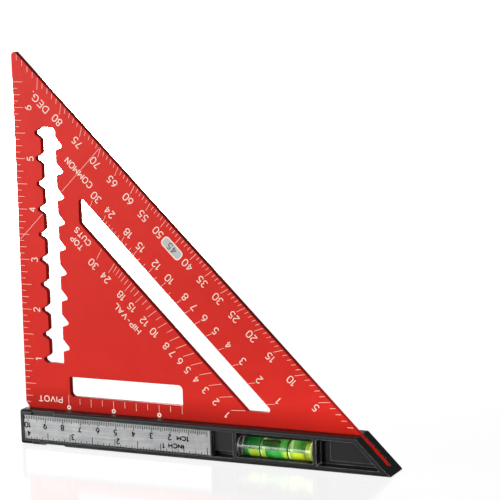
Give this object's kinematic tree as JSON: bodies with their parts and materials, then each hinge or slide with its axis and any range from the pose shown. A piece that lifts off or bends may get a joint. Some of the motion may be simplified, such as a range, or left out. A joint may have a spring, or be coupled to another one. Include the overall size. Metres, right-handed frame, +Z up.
{
  "type": "speed square",
  "caption": "Triangular rafter square with a notched slot, a diagonal slot and a window, in a black fence with a steel rule and a spirit vial.",
  "frame": {"origin": "pivot corner: where the blade's upright edge, the blade's front face and the top of the fence meet", "axes": "+X along the fence, +Y to the back (through the blade's thickness), +Z up along the upright edge"},
  "size_m": [0.1996, 0.0168, 0.1971],
  "materials": {
    "blade_red": "satin red coating on aluminium with cream printed scales",
    "fence_black": "moulded black plastic, semi-gloss",
    "cap_black": "moulded black plastic, semi-gloss",
    "rule_steel": "brushed steel with black etched scales",
    "tape": "adhesive foam tape",
    "vial_clear": "clear acrylic",
    "vial_plug": "moulded plug",
    "spirit": "yellow-green fluid",
    "bubble": "air bubble",
    "ring_black": "printed level ring",
    "screw_steel": "zinc plated"
  },
  "bodies": {
    "square": {"blade": "blade_red", "base": "fence_black", "end_cap": "cap_black", "ruler_plate": "rule_steel", "ruler_tape": "tape", "vial_tube": "vial_clear", "vial_plug": "vial_plug", "vial_liquid": "spirit", "level_ring_left": "ring_black", "level_ring_right": "ring_black", "blade_screw_1": "screw_steel", "blade_screw_2": "screw_steel", "blade_screw_3": "screw_steel", "blade_screw_4": "screw_steel"},
    "bubble": {"vial_bubble": "bubble"}
  },
  "joints": [
    {"name": "bubble_slide", "type": "slide", "parent": "square", "child": "bubble", "axis": [1, 0, 0], "range_m": [-0.0078, 0.0128], "stiffness_N_per_m": 0.02}
  ]
}
